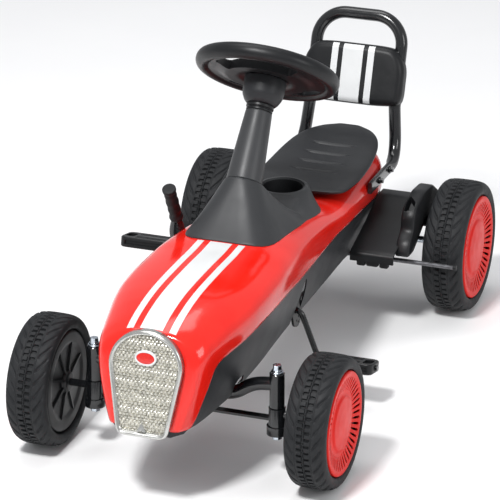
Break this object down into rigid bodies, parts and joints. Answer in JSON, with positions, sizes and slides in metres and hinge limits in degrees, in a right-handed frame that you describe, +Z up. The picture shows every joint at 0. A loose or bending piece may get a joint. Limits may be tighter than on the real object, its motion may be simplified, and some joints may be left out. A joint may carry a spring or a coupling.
{
  "type": "pedal go kart",
  "caption": "Child's four-wheel pedal go kart with a moulded teardrop body, tubular backrest, chain drive, steered front wheels and a hand brake.",
  "frame": {"origin": "centre of the overall box on the floor", "axes": "-Y towards the nose, +X to the rider's left, +Z up"},
  "size_m": [0.549, 1.1069, 0.6237],
  "materials": {
    "frame_paint": "gloss black powder coat",
    "red_shell": "high gloss red moulding",
    "dark_panel": "satin dark grey moulding",
    "shroud_grey": "satin grey moulding",
    "black_plastic": "satin black moulding",
    "white_film": "smooth white film",
    "bright_trim": "silver plated trim",
    "grille_mesh": "embossed silver foil",
    "badge_red": "gloss red with a pale ring",
    "tyre": "matt foam rubber",
    "red_cap": "semi gloss red",
    "zinc": "bright zinc plate",
    "nylon": "natural nylon"
  },
  "bodies": {
    "chassis": {"frame_spine": "frame_paint", "front_beam": "frame_paint", "body_shell": "red_shell", "side_panel_left": "dark_panel", "side_panel_right": "dark_panel", "nose_tray": "black_plastic", "hood_stripes": "white_film", "grille_frame": "bright_trim", "grille_panel": "grille_mesh", "badge": "badge_red", "column_shroud": "shroud_grey", "column_cover": "shroud_grey", "column_collar": "black_plastic", "seat_pan": "black_plastic", "seat_bolts": "zinc", "backrest_hoop": "frame_paint", "backrest_panel": "black_plastic", "backrest_stripes": "white_film", "hoop_bolts": "zinc", "rear_cover": "black_plastic", "axle_bushes": "nylon", "crank_bushes": "nylon", "kingpin_bolts": "zinc", "drive_chain": "zinc"},
    "steering": {"steering_shaft": "zinc", "steering_wheel": "black_plastic", "wheel_boot": "black_plastic", "wheel_cap": "black_plastic"},
    "knuckle_l": {"knuckle_left": "frame_paint"},
    "knuckle_r": {"knuckle_right": "frame_paint"},
    "track_rod": {"tie_rod": "frame_paint"},
    "wheel_front_left": {"front_left_tyre": "tyre", "front_left_disc": "black_plastic", "front_left_cap": "red_cap"},
    "wheel_front_right": {"front_right_tyre": "tyre", "front_right_disc": "black_plastic", "front_right_cap": "red_cap"},
    "rear_set": {"rear_axle": "zinc", "rear_left_tyre": "tyre", "rear_left_disc": "black_plastic", "rear_left_cap": "red_cap", "rear_right_tyre": "tyre", "rear_right_disc": "black_plastic", "rear_right_cap": "red_cap", "axle_sprocket": "zinc"},
    "crank": {"crank_rod": "frame_paint", "crank_sprocket": "zinc"},
    "pedal_l": {"pedal_left": "black_plastic"},
    "pedal_r": {"pedal_right": "black_plastic"},
    "hand_brake": {"brake_lever": "frame_paint", "brake_grip": "black_plastic"},
    "brake_pull": {"brake_link": "zinc"},
    "brake_press": {"brake_bar": "zinc", "brake_tips": "black_plastic"}
  },
  "joints": [
    {"name": "steer", "type": "hinge", "parent": "chassis", "child": "steering", "pos_m": [0, 0.0349, 0.5445], "axis": [0, 0.592, 0.8059], "range_deg": [-28, 28]},
    {"name": "knuckle_left_turn", "type": "hinge", "parent": "chassis", "child": "knuckle_l", "pos_m": [0.158, -0.358, 0.1], "axis": [0, 0, 1], "range_deg": [-28, 28]},
    {"name": "knuckle_right_turn", "type": "hinge", "parent": "chassis", "child": "knuckle_r", "pos_m": [-0.158, -0.358, 0.1], "axis": [0, 0, 1], "range_deg": [-28, 28]},
    {"name": "track_rod_pivot", "type": "hinge", "parent": "knuckle_l", "child": "track_rod", "pos_m": [0.158, -0.328, 0.086], "axis": [0, 0, 1], "range_deg": [-28, 28]},
    {"name": "front_left_spin", "type": "hinge", "parent": "knuckle_l", "child": "wheel_front_left", "pos_m": [0.2385, -0.358, 0.11], "axis": [1, 0, 0], "continuous": true},
    {"name": "front_right_spin", "type": "hinge", "parent": "knuckle_r", "child": "wheel_front_right", "pos_m": [-0.2385, -0.358, 0.11], "axis": [1, 0, 0], "continuous": true},
    {"name": "rear_spin", "type": "hinge", "parent": "chassis", "child": "rear_set", "pos_m": [0, 0.413, 0.118], "axis": [1, 0, 0], "continuous": true},
    {"name": "crank_spin", "type": "hinge", "parent": "chassis", "child": "crank", "pos_m": [0, -0.055, 0.158], "axis": [1, 0, 0], "continuous": true},
    {"name": "pedal_left_spin", "type": "hinge", "parent": "crank", "child": "pedal_l", "pos_m": [0.18, -0.055, 0.072], "axis": [1, 0, 0], "continuous": true},
    {"name": "pedal_right_spin", "type": "hinge", "parent": "crank", "child": "pedal_r", "pos_m": [-0.18, -0.055, 0.244], "axis": [1, 0, 0], "continuous": true},
    {"name": "brake_pull_back", "type": "hinge", "parent": "chassis", "child": "hand_brake", "pos_m": [-0.119, -0.082, 0.264], "axis": [-1, 0, 0], "range_deg": [0, 25]},
    {"name": "brake_link_slide", "type": "slide", "parent": "chassis", "child": "brake_pull", "axis": [0, -1, 0], "range_m": [0, 0.0054]},
    {"name": "brake_bar_swing", "type": "hinge", "parent": "chassis", "child": "brake_press", "pos_m": [0, 0.255, 0.182], "axis": [1, 0, 0], "range_deg": [0, 5.9]}
  ],
  "couplings": [
    {"joint": "knuckle_left_turn", "follows": "steer", "ratio": -1},
    {"joint": "knuckle_right_turn", "follows": "steer", "ratio": -1},
    {"joint": "track_rod_pivot", "follows": "steer", "ratio": 1},
    {"joint": "rear_spin", "follows": "crank_spin", "ratio": 1.25},
    {"joint": "brake_link_slide", "follows": "brake_pull_back", "m_per_rad": 0.012376},
    {"joint": "brake_bar_swing", "follows": "brake_pull_back", "ratio": 0.236}
  ]
}
